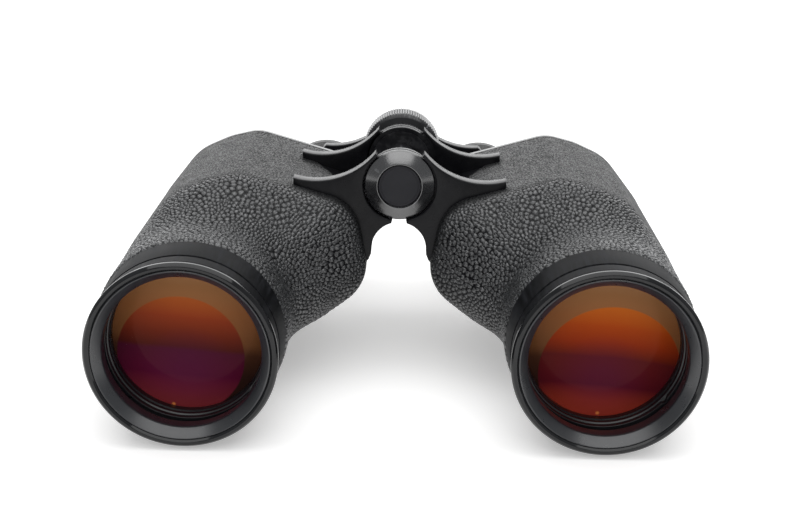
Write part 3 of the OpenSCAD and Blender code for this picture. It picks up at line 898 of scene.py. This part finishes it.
def make_glass(side, tag, body):
    c = objective_axis(side)
    # each lens has its own painted reflections: the amber disc's place and size, the horizon's bow and its
    # colours
    if side > 0:
        mat = coated(f"coating_painted_reflections_{tag}", c, (0.105, -0.375), 0.93, 0.1, AMBER_REFLECTION_RIGHT)
    else:
        mat = coated(f"coating_painted_reflections_{tag}", c, (-0.11, -0.26), 0.84, 0.03, AMBER_REFLECTION_LEFT)
    prof = lens_face(LENS_BOW_FRONT, LENS_FRONT) + lens_face(LENS_BOW_BACK, LENS_BACK)[::-1]
    turned(f"{tag}_objective_front_lens", prof, 0, c, body, mat, f"{tag}_objective_crown",
           n=128, closed=False, smooth=40)


# ---------------------------------------------------------------- eyepieces
GRIP_RIBS, GRIP_FROM, GRIP_PITCH = 9, 73.0, 1.25


def knurl(count, depth, y0, y1):
    """A turned face with count flutes, depth deep, between y0 and y1."""
    def shape(r, y, th):
        wave = np.abs(((th * count / (2 * math.pi)) % 1.0) - 0.5) * 2
        inside = (y > y0) & (y < y1)
        return np.where(inside, r - depth * (1 - np.clip(wave * 1.6, 0, 1)), r)
    return shape


def make_eyepiece(side, tag):
    c = eye_axis(side)
    slide = f"{tag}_eyepiece"
    head = "left_eyepiece" if side > 0 else "right_eyepiece_head"
    guide = [(12.05, 22.0), (13.45, 22.0), (13.45, COVER_TOP - 0.1), (15.9, COVER_TOP - 0.1),
             (15.9, COVER_TOP + 0.9), (15.1, COVER_TOP + 1.7), (13.7, COVER_TOP + 2.3),
             (12.05, COVER_TOP + 2.3)]
    turned(f"{tag}_guide_sleeve", guide, [0, 0, 0, 0.2, 0.3, 0.5, 0.3, 0.15], c, f"{tag}_half", M_ENAMEL,
           f"{tag}_guide_tube", steps=4)
    tube = [(10.8, 26), (TUBE_R, 26), (TUBE_R, 66), (10.8, 66)]
    turned(f"{tag}_ocular_sleeve", tube, 0.2, c, slide, M_ALU, f"{tag}_ocular_tube",
           steps=2)
    if side > 0:
        collar = [(12.05, 55.55), (14.9, 55.55), (15.4, 56.1), (15.4, 58.2), (15.0, 58.5), (15.0, 59.0),
                  (15.4, 59.3), (15.4, 65.3), (14.9, 66.0), (12.05, 66.0)]
        turned("left_fixed_collar", collar, 0.25, c, slide, M_ENAMEL, "left_ocular_collar", n=128)
    else:
        ring = [(12.1, 55.95), (15.3, 55.95), (15.8, 56.3), (15.8, 57.2), (15.35, 57.6), (15.7, 57.9)]
        ring += [(16.0, y) for y in np.linspace(58.2, 63.6, 8)]
        ring += [(15.7, 64.0), (15.4, 64.8), (12.1, 64.8)]
        turned("right_diopter_knurl", ring, 0, c, "diopter_ring_body", M_ENAMEL,
               "right_diopter_ring", n=360, smooth=60, shape=knurl(72, 0.45, 58.0, 63.7))
    barrel = [(9.6, 34), (10.75, 34), (10.75, 68), (14.6, 68), (14.6, 71.8), (9.6, 71.8)]
    turned(f"{tag}_eye_barrel_turned", barrel, 0.2, c, head, M_ANOD, f"{tag}_eye_barrel")
    cup = [(14.65, 68.0), (15.9, 68.0), (CUP_R, 68.6), (CUP_R, 70.4), (16.25, 70.7), (16.25, 71.2),
           (CUP_R, 71.5)]
    for k in range(GRIP_RIBS):
        y = GRIP_FROM + k * GRIP_PITCH
        cup += [(CUP_R, y), (16.18, y + 0.3), (16.18, y + 0.55), (CUP_R, y + 0.85)]
    cup += [(CUP_R, 87.6), (16.3, 89.2), (15.5, 90.0), (14.6, 89.9), (13.9, 89.0), (11.0, 73.0),
            (10.6, 72.2), (14.65, 72.1)]
    turned(f"{tag}_eyecup_ribbed", cup, 0.35, c, head, M_PLASTIC, f"{tag}_eyecup",
           n=144, smooth=50)


# ---------------------------------------------------------------- bridge and hinge line
HUB_R, WHEEL_R = 8.6, 14.4


def make_bridge(side, tag):
    """Half of the sliding bridge: a waisted wing round the ocular, and its share of the hub."""
    y1, y2 = BRIDGE_ROW
    mid = (y1 + y2) / 2
    top = [on_circle((27.5, 24.8), 27.5, a) for a in np.linspace(215.0, 275.2, 24)]
    top = [q for q in top if math.hypot(q[0], q[1]) > HUB_R and q[0] > 7.6]
    outer = arc((EYE_X, EYE_DZ), 15.8, 78, -180, 38)
    inner = [on_circle((0.0, 0.0), HUB_R - 0.1, a) for a in np.linspace(-62, 24, 12)]
    pts = inner + top + [(30.9, -3.4), (31.9, -5.4), (32.6, -8.0)] + outer + [(11.5, -12.5)]
    web = plate(pts, y1, y2, side, 0.4)
    h1, h2 = (y1, mid - 0.15) if side > 0 else (mid + 0.15, y2)
    hub = [(SPINDLE_R + 0.05, h1), (HUB_R, h1), (HUB_R, h2), (SPINDLE_R + 0.05, h2)]
    boss = lathe(fillet(hub, [0, 0.3, 0.3, 0]), HINGE_AXIS, 72)
    verts, faces = join_shapes([web, boss])
    build(f"{tag}_bridge_wing", verts, faces, f"{tag}_eyepiece", M_ARM, [f"{tag}_bridge_arm"])


def ticks(r, y, th):
    """Scale marks, one every five degrees over the top of the ring."""
    a = np.degrees(th)
    mark = (np.abs(((a - 40) % 5.0) - 2.5) < 0.6) & (a > 40) & (a < 140)
    return np.where(mark & (r > 11.5), r - 0.25, r)


def make_hinge_line():
    at, half, slide = HINGE_AXIS, "left_half", "left_eyepiece"
    cap = [(0.0, -21.2), (7.2, -21.2), (7.5, -21.5), (7.65, -21.97), (7.85, -21.98), (8.1, -21.9),
           (11.9, -20.1), (CAP_R, -19.7), (CAP_R, -19.5), (0.0, -19.5)]
    turned("front_cap_bevelled", cap, [0, 0.1, 0.1, 0.06, 0.06, 0.1, 0.35, 0.15, 0, 0], at, half, M_CAP,
           "front_cap", n=128, steps=4, closed=False, smooth=60)
    s1, s2 = SLEEVE_ROW
    sleeve = [(AXLE_R + 0.02, s1), (SLEEVE_R, s1), (SLEEVE_R, s2), (AXLE_R + 0.02, s2)]
    turned("hinge_sleeve_turned", sleeve, [0, 0.3, 0.3, 0], at, half, M_ENAMEL, "hinge_sleeve",
           n=72, smooth=50)
    disc = [(0.0, -21.6), (6.3, -21.6), (6.42, -21.5), (6.52, -21.5), (6.62, -21.6), (7.0, -21.6),
            (7.25, -21.4), (0.0, -21.15)]
    turned("cap_disc_sunk", disc, [0, 0.06, 0.06, 0.06, 0.1, 0.1, 0, 0], at, half, M_DISC,
           "cap_disc", closed=False, smooth=50)
    wheel = [(5.06, 26.0), (8.5, 26.0), (8.5, 30.7), (9.0, 31.0), (12.9, 31.0), (13.5, 31.3), (14.1, 32.0)]
    wheel += [(WHEEL_R, y) for y in np.linspace(32.4, 41.8, 12)]
    wheel += [(14.1, 42.2), (13.4, 43.0), (9.5, 43.0), (9.2, 42.5), (4.2, 42.5), (3.9, 43.0),
              (SPINDLE_R + 0.05, 43.0), (SPINDLE_R + 0.05, 30.5), (5.06, 30.3)]
    turned("focus_wheel_knurled", wheel, 0, at, "focus_wheel_body", M_WHEEL, "focus_wheel",
           n=540, smooth=60, shape=knurl(90, 0.4, 32.3, 41.9))
    ring = [(5.05, 24.0), (11.7, 24.0), (11.9, 24.2), (11.9, 25.2), (11.7, 25.4), (5.05, 25.4)]
    turned("scale_ring_ticks", ring, 0, at, half, M_ENAMEL, "scale_ring", n=360, shape=ticks)
    lid = [(0.0, 55.5), (6.8, 55.5), (6.8, 57.2), (6.0, 58.1), (2.6, 58.2), (2.2, 57.6), (0.0, 57.5)]
    turned("bridge_cap_dished", lid, [0, 0.15, 0.3, 0.4, 0.2, 0.2, 0], at, slide, M_ENAMEL,
           "bridge_cap", n=64, steps=4, closed=False, smooth=50)
    rod = [(0.0, 4.0), (SPINDLE_R, 4.0), (SPINDLE_R, BRIDGE_ROW[1]), (0.0, BRIDGE_ROW[1])]
    turned("focus_spindle_rod", rod, [0, 0.3, 0.1, 0], at, slide, M_ALU, "focus_spindle",
           n=48, closed=False, smooth=50)


for tag, side in SIDES.items():
    body = f"{tag}_half"
    for make in (make_leather, make_casting, make_cover, make_strap_lug, make_objective, make_glass):
        make(side, tag, body)
    make_eyepiece(side, tag)
    make_bridge(side, tag)
make_hinge_line()

# the CAD nodes that stay get materials of their own
STAY = {"prism_shelf": M_ALU, "prism_rear": M_GLASS, "prism_front": M_GLASS, "prism_clips": M_BRASS,
        "objective_flint": M_GLASS, "field_lens": M_GLASS, "eye_lens": M_EYE, "hinge_axle": M_STEEL,
        "hinge_washers": M_ANOD}
for name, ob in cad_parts.items():
    key = name.split("_", 1)[1] if name.startswith(("left_", "right_")) else name
    if key in STAY and not ob.hide_render:
        ob.data.materials.clear()
        ob.data.materials.append(STAY[key])

# ---------------------------------------------------------------- floor, world and lights
FLOOR_HALF, FLOOR_GLOW = 6.0, 0.42
WORLD_LIGHT = 0.38
# name, place and target in m, size in m, radiance
LIGHTS = [("top_softbox", (0.0, -0.08, 1.1), (0, 0, 0.04), (1.5, 1.3), 1.8),
          ("back_softbox", (0.0, 1.3, 0.6), (0, 0, 0.06), (2.4, 1.0), 1.9),
          ("front_softbox", (0.0, -1.15, 0.98), (0, 0, 0.06), (1.1, 0.5), 2.2)]


def area_light(name, at, target, size, radiance):
    light = bpy.data.lights.new(name, "AREA")
    light.shape = "RECTANGLE"
    light.size, light.size_y = size
    light.energy = radiance * math.pi * size[0] * size[1]
    ob = bpy.data.objects.new(name, light)
    bpy.context.scene.collection.objects.link(ob)
    ob.location = at
    ob.rotation_mode = "QUATERNION"
    ob.rotation_quaternion = (Vector(target) - Vector(at)).to_track_quat("-Z", "Y")
    ob.visible_camera = False


def make_stage():
    me = bpy.data.meshes.new("floor")
    h = FLOOR_HALF
    me.from_pydata([(-h, -h, 0), (h, -h, 0), (h, h, 0), (-h, h, 0)], [], [(0, 1, 2, 3)])
    floor = bpy.data.objects.new("floor", me)
    bpy.context.scene.collection.objects.link(floor)
    m = Nodes("floor_pale")
    tone = m.ramp(m.noise(6, 2), [(0.3, (0.86, 0.855, 0.85)), (0.7, (0.89, 0.885, 0.88))])
    m.set(Base_Color=tone, Roughness=0.9, Emission_Color=tone, Emission_Strength=FLOOR_GLOW)
    me.materials.append(m.mat)
    world = bpy.data.worlds.new("studio")
    bpy.context.scene.world = world
    world.use_nodes = True
    background = world.node_tree.nodes["Background"]
    background.inputs["Color"].default_value = (0.96, 0.98, 1.0, 1)
    background.inputs["Strength"].default_value = WORLD_LIGHT

    for light in LIGHTS:
        area_light(*light)
    bpy.context.scene.view_settings.view_transform = "Standard"


make_stage()
